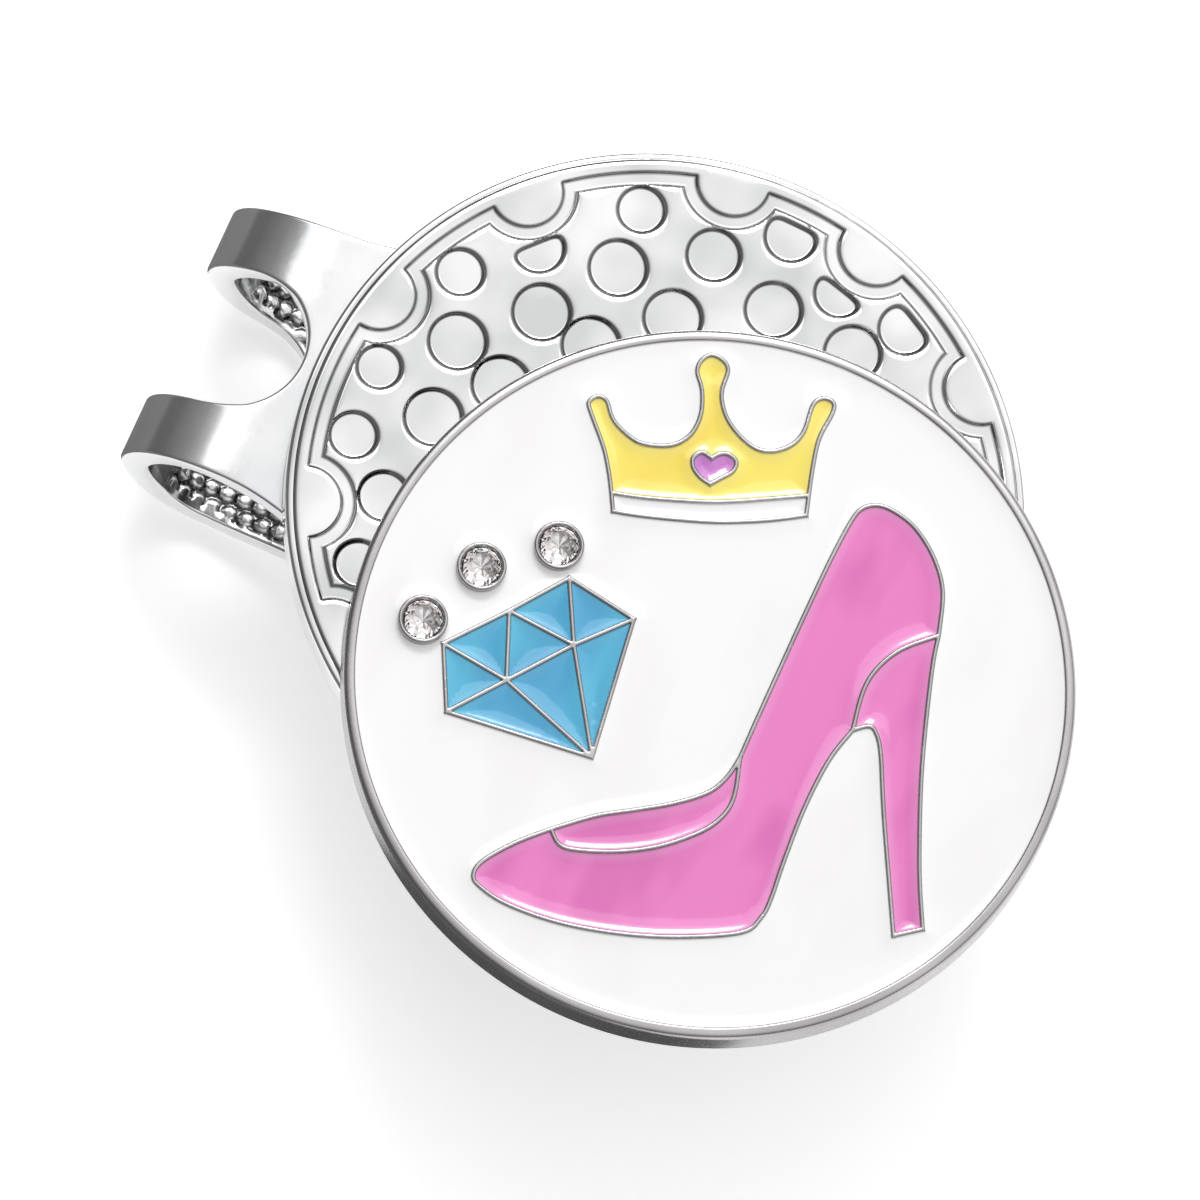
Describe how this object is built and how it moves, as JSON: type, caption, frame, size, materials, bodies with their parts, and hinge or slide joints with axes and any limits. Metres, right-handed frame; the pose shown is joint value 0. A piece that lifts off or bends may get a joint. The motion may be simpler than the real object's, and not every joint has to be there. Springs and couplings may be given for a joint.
{
  "type": "magnetic golf ball marker",
  "caption": "Round enamelled ball marker held by a magnet on a dimpled metal disc, with a folded spring clip for a hat brim or belt.",
  "frame": {"origin": "centre of the clip disc's front face, on the magnet's axis, where a marker seats", "axes": "+Z out of the disc's front face, +Y towards the spring's fold, +X completes the right hand; the clip lies on its tongue, which is at -Z"},
  "size_m": [0.0304, 0.0342, 0.0097],
  "materials": {
    "nickel_plate": "bright nickel plate",
    "nickel_line": "satin nickel plate",
    "magnet_coat": "nickel coated",
    "clear_glue": "cured clear",
    "solder": "dull",
    "enamel_white": "glossy soft enamel",
    "enamel_yellow": "glossy soft enamel",
    "enamel_violet": "glossy soft enamel",
    "enamel_pink": "glossy soft enamel",
    "enamel_blue": "glossy soft enamel",
    "crystal": "cut and foil backed"
  },
  "bodies": {
    "clip": {"clip_disc": "nickel_plate", "magnet": "magnet_coat", "magnet_glue": "clear_glue", "bond_film": "solder", "spring_front": "nickel_plate"},
    "tongue": {"spring_tongue": "nickel_plate"},
    "marker": {"marker_base": "nickel_line", "enamel_field": "enamel_white", "enamel_crown": "enamel_yellow", "enamel_crown_band": "enamel_white", "enamel_heart": "enamel_violet", "enamel_shoe_upper": "enamel_pink", "enamel_shoe_lining": "enamel_pink", "enamel_shoe_heel": "enamel_pink", "enamel_gem_1": "enamel_blue", "enamel_gem_2": "enamel_blue", "enamel_gem_3": "enamel_blue", "enamel_gem_4": "enamel_blue", "enamel_gem_5": "enamel_blue", "enamel_gem_6": "enamel_blue", "enamel_gem_7": "enamel_blue", "enamel_gem_8": "enamel_blue", "crystal_left": "crystal", "crystal_middle": "crystal", "crystal_right": "crystal", "crystal_glue": "clear_glue"}
  },
  "joints": [
    {"name": "tongue_flex", "type": "hinge", "parent": "clip", "child": "tongue", "pos_m": [0, 0.0175, -0.00468], "axis": [1, 0, 0], "range_deg": [0, 10], "stiffness_Nm_per_rad": 1.2},
    {"name": "marker_lift", "type": "slide", "parent": "clip", "child": "marker", "axis": [0, 0, 1], "range_m": [0, 0.02]}
  ]
}
